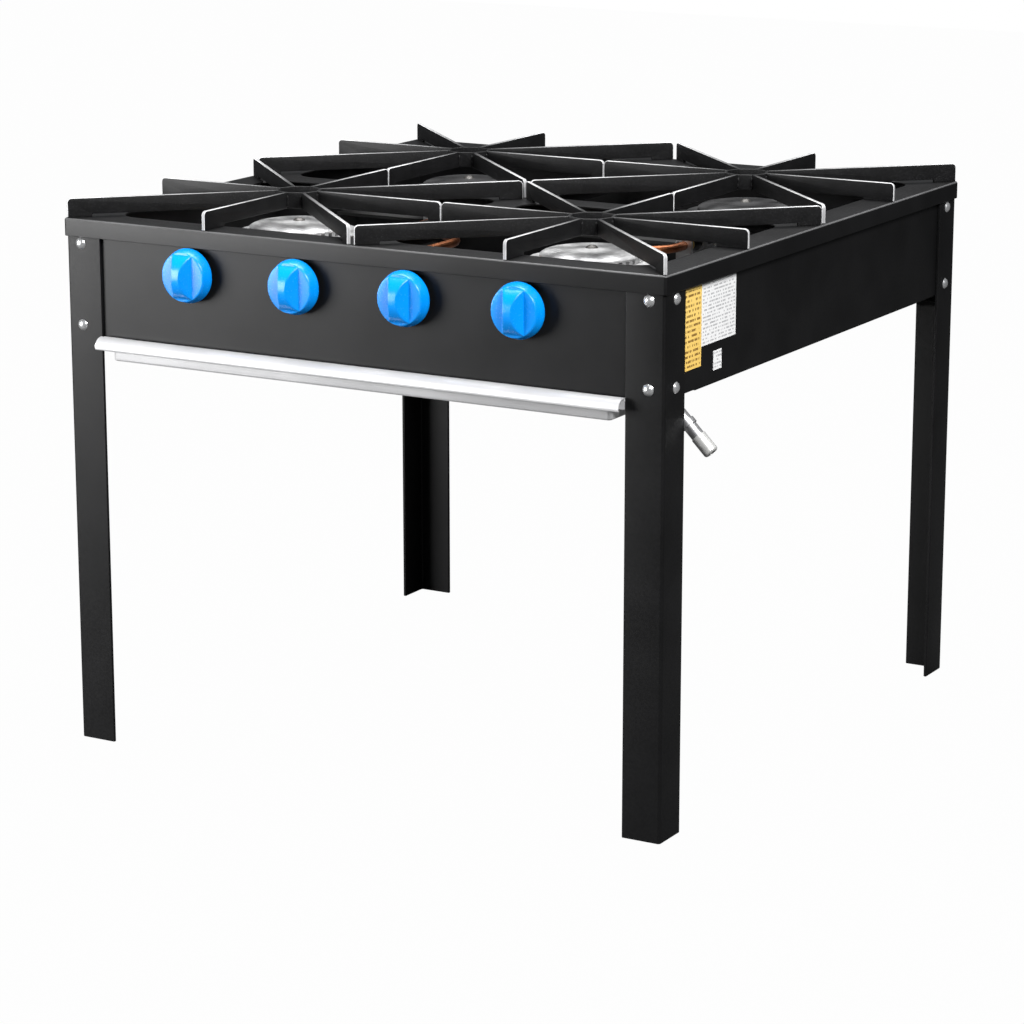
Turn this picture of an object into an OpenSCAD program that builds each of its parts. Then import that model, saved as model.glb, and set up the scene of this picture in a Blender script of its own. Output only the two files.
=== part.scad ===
// Four-burner propane stand: a sheet steel box on four angle legs, with lift-off pot
// trivets, four gas valves with push-and-turn knobs, and a slide-out drip tray.
// The origin is on the floor, under the middle of the frame. +Z is up and -Y is the front.

/* [Overall] */
// Width of the frame, left to right
frame_w = 600; // [500:5:760]
// Depth of the frame, front to back
frame_d = 600; // [500:5:760]
// Height of the deck above the floor
frame_h = 480; // [380:5:900]

/* [Deck] */
// Thickness of the deck sheet
deck_t = 1.5; // [1:0.1:2]
// Height of the skirt folded down around the deck
skirt_h = 16; // [12:1:18]
// Width of the deck's outer strips
rim_w = 32; // [24:1:42]
// Width of the deck's middle strips
rail_w = 30; // [20:1:44]
// Corner radius of the four deck openings
opening_r = 25; // [10:1:40]

/* [Panels and legs] */
// Height of the panels, measured down from the deck's upper face
panel_h = 104; // [98:1:140]
// Thickness of the panel sheet
panel_t = 1.5; // [1:0.1:2.5]
// Width of the fold along each panel's lower edge
panel_lip = 10; // [6:1:12]
// How far the rear panel reaches below the other panels, behind the drip tray
rear_drop = 12; // [0:1:20]
// Width of each flange of a leg
leg_w = 36; // [30:1:44]
// Thickness of the leg's steel
leg_t = 3; // [2:0.5:4]

/* [Screws] */
// Shank diameter of the leg screws
screw_d = 5; // [4:0.5:6]
// Diameter of the round screw heads
screw_head_d = 10; // [8:0.5:11]
// Height of the round screw heads
screw_head_h = 2.8; // [2:0.1:4]
// Distance of the front and rear screws from the leg's corner
screw_x = 15; // [13:1:18]
// Distance of the side screws from the leg's corner
screw_y = 20; // [18:1:24]
// Depth of the upper screws below the deck
screw_drop = 22; // [21:1:30]
// Height of the lower screws above the panel's lower edge
screw_rise = 9; // [8:1:16]

/* [Knobs and valves] */
// Distance between neighbouring knobs
knob_pitch = 110; // [90:1:130]
// Depth of the knobs' axes below the deck
knob_drop = 40; // [38:1:46]
// Diameter of a knob
knob_d = 48; // [40:1:56]
// Depth of a knob, front to back
knob_depth = 22.5; // [20:0.5:30]
// Width of the foot of a knob's grip
knob_grip_w = 20; // [14:0.5:26]
// Width of the flat top of a knob's grip
knob_top_w = 7.2; // [4:0.2:12]
// How far a knob pushes in
knob_push = 3; // [2:0.5:4]
// Diameter of the knob's spindle
stem_d = 8; // [6:0.5:9]
// Outer diameter of a valve's barrel
valve_d = 20; // [18:0.5:24]

/* [Gas line] */
// Outer diameter of the manifold pipe
manifold_d = 17.2; // [16:0.1:20]
// Bore of the manifold pipe
manifold_bore = 12.6; // [11:0.1:13]
// Length of the manifold pipe
manifold_l = 446; // [400:1:480]
// Outer diameter of the inlet tube
inlet_d = 11.5; // [10:0.1:13]
// Length of the inlet tube, measured from the elbow's centre
inlet_l = 114; // [100:1:130]
// Outer diameter of the hose end
hose_end_d = 13; // [12:0.1:16]
// Outer diameter of the rear burners' copper tubes
supply_d = 8; // [6:0.5:10]

/* [Burners] */
// Diameter of a burner's dish
burner_d = 112; // [104:1:124]
// Diameter of a burner's cap
cap_d = 90; // [84:1:96]
// Depth of a cap's highest point below the deck
cap_drop = 11; // [10:1:14]
// Number of flame slots in a cap
cap_slots = 36; // [24:2:48]
// Outer diameter of a burner's mixing tube
mixer_d = 26; // [22:1:28]
// Length of a mixing tube in front of the burner's centre
mixer_l = 79; // [70:1:84]
// Sideways distance from the burner's centre to its mixing tube
mixer_offset = 15; // [12:1:18]

/* [Trivets] */
// Thickness of a trivet's blades
blade_t = 3; // [2:0.5:4]
// Height of the blades' upper edge above the deck
blade_h = 17; // [14:1:26]
// Height of the arch under the blades, where they cross the deck openings
blade_arch = 2.5; // [1:0.5:4]
// Outer radius of the trivet's eight-sided hub
hub_r = 22; // [18:1:30]
// Radius on the blades' outer upper corners
blade_r = 4; // [2:0.5:8]
// Gap between neighbouring trivets
trivet_gap = 1; // [0.6:0.2:4]

/* [Drip tray] */
// Width of the drip tray's pan
tray_w = 500; // [400:5:510]
// Depth of the drip tray's pan, front to back
tray_l = 566; // [420:2:570]
// Height of the drip tray's side walls
tray_h = 15; // [12:1:15]
// Thickness of the drip tray's sheet
tray_t = 1; // [0.8:0.1:1.5]
// How far the rolled pull at the front overhangs the pan on each side
pull_side = 12; // [4:1:12]
// Radius of the rolled pull
pull_r = 11; // [8:1:14]

/* [Fits] */
// Gap between pieces that lift, slide or are set in by hand
slide_gap = 0.4; // [0.3:0.05:0.6]
// Radial gap of a spindle or plug that turns in its bore
turn_gap = 0.06; // [0.02:0.01:0.1]
// Gap between sheet parts that lie one in another
sheet_gap = 0.3; // [0.1:0.05:0.5]

/* [Hidden] */
$fn = 64;
bit = 0.01;
half_w = frame_w / 2;
half_d = frame_d / 2;
// Outer faces of the legs, inside the skirt
leg_x = half_w - deck_t - sheet_gap;
leg_y = half_d - deck_t - sheet_gap;
// Outer faces of the panels, flat against the legs' inner faces
panel_x = leg_x - leg_t;
panel_y = leg_y - leg_t;
panel_in_x = panel_x - panel_t;
panel_in_y = panel_y - panel_t;
panel_z = frame_h - panel_h;
panel_top = frame_h - deck_t - sheet_gap;
screw_z = [frame_h - screw_drop, panel_z + screw_rise];
nut_w = screw_d * 1.6;
nut_h = screw_d * 0.8;
hub_x = half_w / 2;
hub_y = half_d / 2;
// Centre line of knob i, counted from the left
function knob_x(i) = (i - 1.5) * knob_pitch;
// Places along a valve's axis, as distances behind the front panel's outer face
knob_z = frame_h - knob_drop;
knob_gap = knob_push + 2;
valve_front = panel_t + 1.5;
chamber_y = 17;
plug_y = 27;
// The ports, and so the gas line, stand clear of the front legs' side flanges
port_y = max(41, leg_w + 5);
plug_end = port_y + 10;
valve_end = port_y + 14;
valve_cap_y = port_y + 17;
nipple_y = port_y + 21;
nipple_r = 4.5;
plug_r = valve_d * 0.35;
stem_r = stem_d / 2;
nose_r = stem_r + 2.3;
nose_y = -1.3;
tongue_r = 2.5;
port_r = 2.5;
jet_l = 7.5;
manifold_y = port_y - panel_y;
manifold_z = knob_z - valve_d / 2 - manifold_d / 2 - 5.4;
manifold_x = manifold_l / 2;
// Elbow's centre, outer radius and bore, and the depth its tube starts at
elbow_x = manifold_x + 9;
elbow_r = 10;
elbow_bore = 4;
inlet_seat = 9;
stub_r = 5.5;
mixer_z = frame_h - 38;
mixer_r = mixer_d / 2;
// Heights of the burner, from the rail up
rail_t = 3;
rail_z = frame_h - 53;
dish_z = frame_h - 21;
cap_r = cap_d / 2;
cap_top = frame_h - cap_drop;
foot_x = 30;
// The front mixing tubes line up with the outer knobs, and the rear ones point the same way
front_mixer_x = 1.5 * knob_pitch;
front_offset = front_mixer_x - hub_x;
rear_mixer_x = hub_x - mixer_offset;
mixer_mouth = -mixer_l;
// S-bend of a rear supply tube, from the inner knob's line to the rear mixing tube's line
supply_r = supply_d / 2;
supply_x = knob_pitch / 2;
supply_start = nipple_y - panel_y;
supply_end = hub_y - mixer_l - jet_l - 1.5;
bend_r = 36;
bend_a = 60;
bend_side = rear_mixer_x - supply_x;
bend_run = (bend_side - 2 * bend_r * (1 - cos(bend_a))) / sin(bend_a);
bend_long = 2 * bend_r * sin(bend_a) + bend_run * cos(bend_a);
bend_end = supply_end - 18;
bend_start = bend_end - bend_long;
bend_steps = 6;
// Rings of the tube's skin: [x, y, heading], with the heading turned from +Y towards +X
supply_rings = concat(
  [[supply_x, supply_start, 0]],
  [for (k = [0 : bend_steps]) let (a = bend_a * k / bend_steps)
    [supply_x + bend_r * (1 - cos(a)), bend_start + bend_r * sin(a), a]],
  [for (k = [0 : bend_steps]) let (a = bend_a * (1 - k / bend_steps))
    [rear_mixer_x - bend_r * (1 - cos(a)), bend_end - bend_r * sin(a), a]],
  [[rear_mixer_x, supply_end, 0]]);
// Drip tray and its runners
tray_top = panel_z - 5;
tray_floor = tray_top - tray_h;
tray_front = -leg_y - 0.8;
tray_lip = 8;
tray_x = tray_w / 2;
runner_x = tray_x + tray_lip + slide_gap;
runner_t = 1.5;
runner_front = -leg_y + leg_w + 27;
runner_rear = panel_in_y - 4;
// How far the trivet hub's edges stand back from the blades' edges
hub_sink = 0.2;
label_front = -leg_y + leg_w + 0.7;
label_top = frame_h - skirt_h - 2;

// One mirrored copy: the original is drawn for the right-hand rear corner
module corner(sx, sy) {
  mirror([sx < 0 ? 1 : 0, 0, 0])
    mirror([0, sy < 0 ? 1 : 0, 0])
      children();
}

// A cylinder along +Y, from y0 to y1
module rod_y(r, y0, y1) {
  translate([0, y0, 0]) rotate([-90, 0, 0]) cylinder(r = r, h = y1 - y0);
}

// A rectangle with rounded corners, between two corner points
module round_rect(x0, y0, x1, y1, r) {
  translate([x0 + r, y0]) square([x1 - x0 - 2 * r, y1 - y0]);
  translate([x0, y0 + r]) square([x1 - x0, y1 - y0 - 2 * r]);
  for (x = [x0 + r, x1 - r], y = [y0 + r, y1 - r]) translate([x, y]) circle(r);
}

// Deck with four openings and a skirt folded down all round
module top_frame() {
  color("dimgray") {
    translate([0, 0, frame_h - deck_t]) linear_extrude(deck_t) difference() {
      square([frame_w, frame_d], center = true);
      for (sx = [-1, 1], sy = [-1, 1]) mirror([sx < 0 ? 1 : 0, 0]) mirror([0, sy < 0 ? 1 : 0])
        round_rect(rail_w / 2, rail_w / 2, half_w - rim_w, half_d - rim_w, opening_r);
    }
    translate([0, 0, frame_h - skirt_h]) linear_extrude(skirt_h) difference() {
      square([frame_w, frame_d], center = true);
      square([frame_w - 2 * deck_t, frame_d - 2 * deck_t], center = true);
    }
  }
}

// Screw holes through the front or rear panel or flange, along Y at face depth y
module holes_y(y, depth) {
  for (sx = [-1, 1], z = screw_z)
    translate([sx * (leg_x - screw_x), y, z]) rod_y(screw_d / 2 + 0.15, 0, depth);
}

// Screw holes through a side panel or flange, along X
module holes_x(x, depth) {
  for (sy = [-1, 1], z = screw_z)
    translate([x, sy * (leg_y - screw_y), z])
      rotate([0, 90, 0]) cylinder(d = screw_d + 0.3, h = depth);
}

// A panel across the front or back, with its lower edge at height z and folded inwards
module wide_panel(z) {
  difference() {
    union() {
      translate([-panel_x, -panel_y, z]) cube([2 * panel_x, panel_t, panel_top - z]);
      translate([-panel_in_x, -panel_y, z]) cube([2 * panel_in_x, panel_lip, panel_t]);
    }
    holes_y(-panel_y - 1, panel_t + 2);
  }
}

module front_panel() {
  color("dimgray") difference() {
    wide_panel(panel_z);
    for (i = [0 : 3]) translate([knob_x(i), -panel_y, knob_z])
      rod_y(nose_r + 0.5, -1, panel_t + 1);
  }
}

module rear_panel() {
  color("dimgray") rotate(180) wide_panel(panel_z - rear_drop);
}

// A side panel between the front and rear panels, drawn for the right-hand side
module side_panel() {
  len = 2 * (panel_in_y - sheet_gap);
  lip_len = 2 * (panel_y - panel_lip - 1);
  difference() {
    union() {
      translate([panel_in_x, -len / 2, panel_z]) cube([panel_t, len, panel_top - panel_z]);
      translate([panel_x - panel_lip, -lip_len / 2, panel_z]) cube([panel_lip, lip_len, panel_t]);
    }
    holes_x(panel_in_x - 1, panel_t + 2);
  }
}

module left_panel() {
  color("dimgray") mirror([1, 0, 0]) side_panel();
}

module right_panel() {
  color("dimgray") side_panel();
}

// An angle leg with four screw holes, drawn for the right-hand rear corner
module leg(sx, sy) {
  color("dimgray") corner(sx, sy) difference() {
    linear_extrude(panel_top) polygon([
      [leg_x, leg_y], [leg_x - leg_w, leg_y], [leg_x - leg_w, panel_y],
      [panel_x, panel_y], [panel_x, leg_y - leg_w], [leg_x, leg_y - leg_w]]);
    holes_y(panel_y - 1, leg_t + 2);
    holes_x(panel_x - 1, leg_t + 2);
  }
}

module leg_front_left() { leg(-1, -1); }

module leg_front_right() { leg(1, -1); }

module leg_rear_left() { leg(-1, 1); }

module leg_rear_right() { leg(1, 1); }

// Round-head screw along +Z: the head's underside is at z = 0 and the shank points down
module round_screw(d, head_d, head_h, length) {
  ball_r = (head_d * head_d / 4 + head_h * head_h) / (2 * head_h);
  intersection() {
    translate([0, 0, head_h - ball_r]) sphere(ball_r);
    cylinder(d = head_d, h = head_h);
  }
  translate([0, 0, -length]) cylinder(d = d, h = length + bit);
}

// Places its children at all sixteen leg screws, with +Z pointing out of the leg
module at_leg_screws() {
  for (sx = [-1, 1], sy = [-1, 1], z = screw_z) {
    translate([sx * (leg_x - screw_x), sy * leg_y, z]) rotate([-90 * sy, 0, 0]) children();
    translate([sx * leg_x, sy * (leg_y - screw_y), z]) rotate([0, 90 * sx, 0]) children();
  }
}

module leg_screws() {
  color("silver") at_leg_screws()
    round_screw(screw_d, screw_head_d, screw_head_h, leg_t + panel_t + nut_h + 1.5);
}

module leg_nuts() {
  color("silver") at_leg_screws() translate([0, 0, -leg_t - panel_t - nut_h]) difference() {
    cylinder(d = nut_w / cos(30), h = nut_h, $fn = 6);
    translate([0, 0, -1]) cylinder(d = screw_d + 0.1, h = nut_h + 2);
  }
}

// Two flat bars across the box that carry the burners, with their ends bent down
module burner_rails() {
  rail_half = panel_in_x;
  color("dimgray") for (sy = [-1, 1]) translate([0, sy * hub_y, 0]) difference() {
    union() {
      translate([-rail_half, -15, rail_z - rail_t]) cube([2 * rail_half, 30, rail_t]);
      for (sx = [-1, 1]) translate([sx * (rail_half - rail_t / 2), 0, rail_z - 11])
        cube([rail_t, 30, 22], center = true);
    }
    for (sx = [-1, 1], f = [-1, 1]) translate([sx * hub_x + f * foot_x, 0, rail_z - rail_t - 1])
      cylinder(d = screw_d + 0.4, h = rail_t + 2);
  }
}

// Cast burner: gas chamber with its dish, centre boss, two feet and a mixing tube to the
// front, which stands offset to one side of the chamber
module burner(sx, sy, offset) {
  translate([sx * hub_x, sy * hub_y, 0]) difference() {
    union() {
      rotate_extrude() polygon([
        [0, rail_z + 5], [32, rail_z + 5], [cap_r - 2, rail_z + 13], [cap_r, dish_z - 6],
        [burner_d / 2, dish_z - 3], [burner_d / 2, dish_z], [cap_r - 1, dish_z],
        [cap_r - 5, dish_z - 3], [cap_r - 5, rail_z + 17], [30, rail_z + 8.5],
        [0, rail_z + 8.5]]);
      translate([0, 0, rail_z + 5]) cylinder(r = 7, h = dish_z - rail_z - 5);
      for (f = [-1, 1]) translate([f * foot_x, 0, rail_z]) cylinder(r = 7, h = 7);
      translate([offset, 0, mixer_z]) rod_y(mixer_r, mixer_mouth, -cap_r + 12);
    }
    translate([offset, 0, mixer_z]) rod_y(mixer_r - 3, mixer_mouth - 1, -cap_r + 16);
    translate([0, 0, dish_z - 15]) cylinder(r = 3, h = 16);
    for (f = [-1, 1]) translate([f * foot_x, 0, rail_z - 1]) cylinder(d = screw_d, h = 8);
    for (side = [-1, 1]) translate([offset + side * mixer_r, mixer_mouth + 12, mixer_z])
      cube([8, 14, 9], center = true);
  }
}

module burner_front_left() { color("lightgray") burner(-1, -1, -front_offset); }

module burner_front_right() { color("lightgray") burner(1, -1, front_offset); }

module burner_rear_left() { color("dimgray") burner(-1, 1, mixer_offset); }

module burner_rear_right() { color("dimgray") burner(1, 1, -mixer_offset); }

// Domed burner cap with flame slots cut through its lower rim
module burner_cap(sx, sy) {
  slot_h = 3;
  translate([sx * hub_x, sy * hub_y, 0]) difference() {
    rotate_extrude() polygon([
      [0, cap_top - 4], [cap_r - 6, cap_top - 6], [cap_r - 5, dish_z], [cap_r, dish_z],
      [cap_r, cap_top - 5], [cap_r - 3, cap_top - 3], [26, cap_top - 0.5], [0, cap_top]]);
    for (i = [0 : cap_slots - 1]) rotate((i + 0.5) * 360 / cap_slots)
      translate([cap_r - 9, -1.2, dish_z - 1]) cube([12, 2.4, slot_h + 1]);
    translate([0, 0, dish_z - 5]) cylinder(r = 3.3, h = 20);
  }
}

module burner_cap_front_left() { color("silver") burner_cap(-1, -1); }

module burner_cap_front_right() { color("silver") burner_cap(1, -1); }

module burner_cap_rear_left() { color("dimgray") burner_cap(-1, 1); }

module burner_cap_rear_right() { color("dimgray") burner_cap(1, 1); }

module cap_screws() {
  color("gray") for (sx = [-1, 1], sy = [-1, 1])
    translate([sx * hub_x, sy * hub_y, cap_top]) round_screw(5.9, 11, 2.6, cap_top - dish_z + 12);
}

module burner_screws() {
  color("silver") for (sx = [-1, 1], sy = [-1, 1], f = [-1, 1])
    translate([sx * hub_x + f * foot_x, sy * hub_y, rail_z - rail_t])
      mirror([0, 0, 1]) round_screw(screw_d - 0.1, screw_head_d, screw_head_h, rail_t + 6);
}

// Pipe across the front of the box, with a hole in its top for each valve
module gas_manifold() {
  color("gray") translate([0, manifold_y, manifold_z]) difference() {
    rotate([0, 90, 0]) cylinder(d = manifold_d, h = manifold_l, center = true);
    rotate([0, 90, 0]) cylinder(d = manifold_bore, h = manifold_l + 2, center = true);
    for (i = [0 : 3]) translate([knob_x(i), 0, 0]) cylinder(r = stub_r + 0.05, h = manifold_d);
  }
}

// Plug screwed into the left-hand end of the manifold
module manifold_plug() {
  color("gray") translate([-manifold_x, manifold_y, manifold_z]) rotate([0, -90, 0]) {
    cylinder(d = 22, h = 7, $fn = 6);
    translate([0, 0, -12]) cylinder(d = manifold_bore - 0.1, h = 12 + bit);
  }
}

// Two brackets that hold the manifold to the front panel
module manifold_brackets() {
  arm_y = manifold_y + panel_in_y;
  color("dimgray") for (sx = [-1, 1])
    translate([sx * (manifold_x - 20), -panel_in_y, manifold_z]) difference() {
      union() {
        translate([-8, 0, -10]) cube([16, 2, 20]);
        translate([-8, 0, -2]) cube([16, arm_y - manifold_d / 2, 4]);
        translate([-8, arm_y, 0]) rotate([0, 90, 0]) cylinder(r = manifold_d / 2 + 3, h = 16);
      }
      translate([-9, arm_y, 0]) rotate([0, 90, 0]) cylinder(r = manifold_d / 2 + 0.05, h = 18);
    }
}

// Frame of the inlet: its origin is the elbow's centre and +Z runs down the inlet tube,
// which slopes outwards and down at 45 degrees
module at_inlet() {
  translate([elbow_x, manifold_y, manifold_z]) rotate([0, 135, 0]) children();
}

// Elbow that turns the gas line from the manifold to the inlet tube
module inlet_elbow() {
  color("gray") difference() {
    union() {
      translate([manifold_x, manifold_y, manifold_z]) rotate([0, 90, 0])
        cylinder(r = elbow_r, h = elbow_x - manifold_x);
      translate([elbow_x, manifold_y, manifold_z]) sphere(r = elbow_r + 0.7);
      at_inlet() cylinder(r = elbow_r - 0.4, h = inlet_seat + 7);
    }
    translate([manifold_x - 4, manifold_y, manifold_z]) rotate([0, 90, 0])
      cylinder(r = elbow_bore, h = elbow_x - manifold_x + 4);
    translate([elbow_x, manifold_y, manifold_z]) sphere(r = elbow_bore + 1.5);
    at_inlet() cylinder(r = elbow_bore, h = inlet_seat + 11);
    at_inlet() translate([0, 0, inlet_seat]) cylinder(d = inlet_d + 0.1, h = 20);
  }
}

module inlet_tube() {
  color("silver") at_inlet() translate([0, 0, inlet_seat]) difference() {
    cylinder(d = inlet_d, h = inlet_l - inlet_seat);
    translate([0, 0, -1]) cylinder(d = inlet_d - 3, h = inlet_l - inlet_seat + 2);
  }
}

// Collar locked on the tube where it leaves the box
module inlet_nut() {
  color("silver") at_inlet() translate([0, 0, inlet_l - 24]) difference() {
    cylinder(r = inlet_d / 2 + 1.2, h = 5);
    translate([0, 0, -1]) cylinder(d = inlet_d + 0.1, h = 7);
  }
}

// Rounded hose end fixed on the tube's tip
module hose_end() {
  lip = 2;
  color("whitesmoke") at_inlet() translate([0, 0, inlet_l]) difference() {
    union() {
      translate([0, 0, -8]) cylinder(d = hose_end_d, h = 16);
      translate([0, 0, 8]) rotate_extrude() {
        square([hose_end_d / 2 - lip, lip]);
        intersection() {
          translate([hose_end_d / 2 - lip, 0]) circle(lip);
          translate([hose_end_d / 2 - lip - bit, 0]) square(lip + bit);
        }
      }
    }
    translate([0, 0, -9]) cylinder(d = inlet_d + 0.1, h = 9);
    translate([0, 0, -1]) cylinder(r = 3.5, h = 20);
  }
}

// Places its children on the axis of valve i, at the front panel's outer face
module at_valve(i) {
  translate([knob_x(i), -panel_y, knob_z]) children();
}

// Valve body: barrel with a nose through the panel, bores for the stem, the spring and
// the plug, and a stub down into the manifold
module valve_body(i) {
  color("goldenrod") at_valve(i) difference() {
    union() {
      rod_y(nose_r, nose_y, valve_front + 1);
      rod_y(valve_d / 2, valve_front, valve_end);
      translate([0, port_y, manifold_z - knob_z + manifold_d / 2 - 3])
        cylinder(r = stub_r, h = knob_z - manifold_z - manifold_d / 2);
    }
    rod_y(stem_r + turn_gap, nose_y - 1, chamber_y + 1);
    rod_y(stem_r + 1.6, chamber_y, plug_y + 1);
    rod_y(plug_r + turn_gap, plug_y, valve_end + 1);
    translate([0, port_y, manifold_z - knob_z]) cylinder(r = port_r, h = knob_z - manifold_z);
  }
}

module valve_body_left_outer() { valve_body(0); }

module valve_body_left_inner() { valve_body(1); }

module valve_body_right_inner() { valve_body(2); }

module valve_body_right_outer() { valve_body(3); }

// Caps that close the valves' rear ends, each with the outlet nipple
module valve_caps() {
  color("goldenrod") for (i = [0 : 3]) at_valve(i) difference() {
    union() {
      rod_y(plug_r, plug_end + 0.5, valve_end + bit);
      rod_y(valve_d / 2, valve_end, valve_cap_y);
      rod_y(nipple_r, valve_cap_y - bit, nipple_y);
    }
    rod_y(port_r, plug_end, nipple_y + 1);
  }
}

// One jet, with its socket's mouth at y = 0 and its nozzle pointing along +Y
module jet() {
  difference() {
    union() {
      rod_y(6, 0, 5);
      translate([0, 5 - bit, 0]) rotate([-90, 0, 0]) cylinder(r1 = 4, r2 = 2.5, h = jet_l - 5);
    }
    rod_y(nipple_r + 0.05, -1, nipple_y - valve_cap_y + 0.1);
    rod_y(0.6, 0, jet_l + 1);
  }
}

// Front jets sit on the valves and rear jets on the ends of the copper tubes
module jets() {
  color("goldenrod") {
    for (i = [0, 3]) at_valve(i) translate([0, valve_cap_y, 0]) jet();
    for (sx = [-1, 1]) translate([sx * rear_mixer_x, supply_end - 4, knob_z]) jet();
  }
}

// A rear burner's copper tube, drawn for the right-hand side: it runs back from the
// valve, swings outwards through two equal bends, and ends in front of the mixing tube.
module supply_tube(r) {
  sides = 16;
  last = len(supply_rings) - 1;
  points = [for (ring = supply_rings, k = [0 : sides - 1]) let (t = 360 * k / sides)
    [ring[0] + r * cos(t) * cos(ring[2]), ring[1] - r * cos(t) * sin(ring[2]), r * sin(t)]];
  walls = [for (i = [0 : last - 1], k = [0 : sides - 1]) let (n = (k + 1) % sides)
    [i * sides + k, i * sides + n, (i + 1) * sides + n, (i + 1) * sides + k]];
  first_end = [for (k = [sides - 1 : -1 : 0]) k];
  last_end = [for (k = [0 : sides - 1]) last * sides + k];
  polyhedron(points, concat(walls, [first_end], [last_end]));
}

module supply_tubes() {
  color("peru") for (sx = [-1, 1]) corner(sx, 1) translate([0, 0, knob_z]) difference() {
    union() {
      supply_tube(supply_r);
      translate([supply_x, 0, 0]) rod_y(nipple_r, supply_start, supply_start + 4);
      translate([rear_mixer_x, 0, 0]) rod_y(nipple_r, supply_end - 6, supply_end);
    }
    translate([supply_x, 0, 0]) rod_y(supply_r - 1, supply_start - 1, supply_start + 20);
    translate([rear_mixer_x, 0, 0]) rod_y(supply_r - 1, supply_end - 15, supply_end + 1);
  }
}

// Nuts that join the copper tubes to the inner valves' nipples
module union_nuts() {
  color("goldenrod") for (i = [1, 2]) at_valve(i) difference() {
    translate([0, valve_cap_y, 0]) rotate([-90, 0, 0]) cylinder(r = 7.5, h = 8, $fn = 6);
    rod_y(nipple_r + 0.05, valve_cap_y - 1, valve_cap_y + 9);
  }
}

// Brackets that hold the rear jets in line with their mixing tubes
module jet_brackets() {
  ring_l = 2.5;
  plate_y = supply_end - 9;
  ring_y = hub_y - burner_d / 2 - ring_l - 1;
  bar_z = mixer_z - mixer_r - 5;
  color("gray") for (sx = [-1, 1]) translate([sx * rear_mixer_x, 0, 0]) difference() {
    union() {
      translate([-8, plate_y, bar_z]) cube([16, ring_l, knob_z + 8 - bar_z]);
      translate([-8, plate_y, bar_z]) cube([16, ring_y + ring_l - plate_y, 2]);
      translate([0, 0, mixer_z]) rod_y(mixer_r + 3, ring_y, ring_y + ring_l);
      translate([-8, ring_y, bar_z]) cube([16, ring_l, 8]);
    }
    translate([0, 0, knob_z]) rod_y(supply_r + 0.05, plate_y - 1, plate_y + 4);
    translate([0, 0, mixer_z]) rod_y(mixer_r + 0.15, ring_y - 1, ring_y + 4);
  }
}

// Coil springs that push the stems out, drawn as closed coils at their pushed-in length
module stem_springs() {
  wire_r = 0.5;
  turn_pitch = 2.2 * wire_r;
  color("silver") for (i = [0 : 3], turn = [0 : 2])
    at_valve(i) translate([0, plug_y - 0.2 - wire_r - turn * turn_pitch, 0])
      rotate([-90, 0, 0]) rotate_extrude()
        translate([tongue_r + 1.4, 0]) circle(wire_r, $fn = 16);
}

// Two runners under the side panels, with a ledge that the tray's side lips slide on
module tray_runners() {
  color("dimgray") for (sx = [-1, 1]) mirror([sx < 0 ? 1 : 0, 0, 0])
    translate([0, runner_rear, 0]) rotate([90, 0, 0])
      linear_extrude(runner_rear - runner_front) polygon([
        [tray_x + slide_gap + 1, tray_top - tray_t - slide_gap - runner_t],
        [runner_x + runner_t, tray_top - tray_t - slide_gap - runner_t],
        [runner_x + runner_t, panel_z - runner_t], [panel_in_x, panel_z - runner_t],
        [panel_in_x, panel_z], [runner_x, panel_z],
        [runner_x, tray_top - tray_t - slide_gap],
        [tray_x + slide_gap + 1, tray_top - tray_t - slide_gap]]);
}

// A label on the right-hand panel, from its front lower corner
module label(y, z, w, h) {
  translate([panel_x, y, z]) cube([0.3, w, h]);
}

module yellow_label() {
  color("gold") label(label_front, label_top - 68, 33, 68);
}

module white_labels() {
  color("white") {
    label(label_front + 33.5, label_top - 52, 63, 52);
    label(label_front + 56, label_top - 76, 15, 16.5);
  }
}

// Outline of one blade, from the hub's centre outwards: x is the distance from the centre
// and y the height above the deck
module blade_profile(length, foot) {
  translate([hub_r - blade_t, blade_arch])
    square([length - hub_r + blade_t, blade_h - blade_r - blade_arch]);
  translate([hub_r - blade_t, blade_arch])
    square([length - blade_r - hub_r + blade_t, blade_h - blade_arch]);
  translate([length - blade_r, blade_h - blade_r]) circle(blade_r);
  translate([length - foot, 0]) square([foot, blade_h - blade_r]);
}

// One blade, turned to its angle
module blade(angle, length, foot) {
  rotate(angle) rotate([90, 0, 0]) linear_extrude(blade_t, center = true)
    blade_profile(length, foot);
}

// Pot trivet: eight blades on edge, welded to an eight-sided hub
module trivet(sx, sy) {
  reach_x = hub_x - trivet_gap / 2;
  reach_y = hub_y - trivet_gap / 2;
  slant = atan2(reach_y, reach_x);
  diagonal = sqrt(reach_x * reach_x + reach_y * reach_y) - blade_t;
  color("dimgray") translate([sx * hub_x, sy * hub_y, frame_h]) {
    difference() {
      translate([0, 0, blade_arch + hub_sink])
        cylinder(r = hub_r, h = blade_h - blade_arch - 2 * hub_sink, $fn = 8);
      cylinder(r = hub_r - blade_t / cos(22.5), h = blade_h + 1, $fn = 8);
    }
    for (a = [0, 180]) blade(a, reach_x, (a == 0) == (sx > 0) ? rim_w - 2 : rail_w / 2 - 2);
    for (a = [90, 270]) blade(a, reach_y, (a == 90) == (sy > 0) ? rim_w - 2 : rail_w / 2 - 2);
    for (a = [slant, 180 - slant, 180 + slant, 360 - slant]) blade(a, diagonal, 22);
  }
}

module trivet_front_left() { trivet(-1, -1); }

module trivet_front_right() { trivet(1, -1); }

module trivet_rear_left() { trivet(-1, 1); }

module trivet_rear_right() { trivet(1, 1); }

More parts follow.
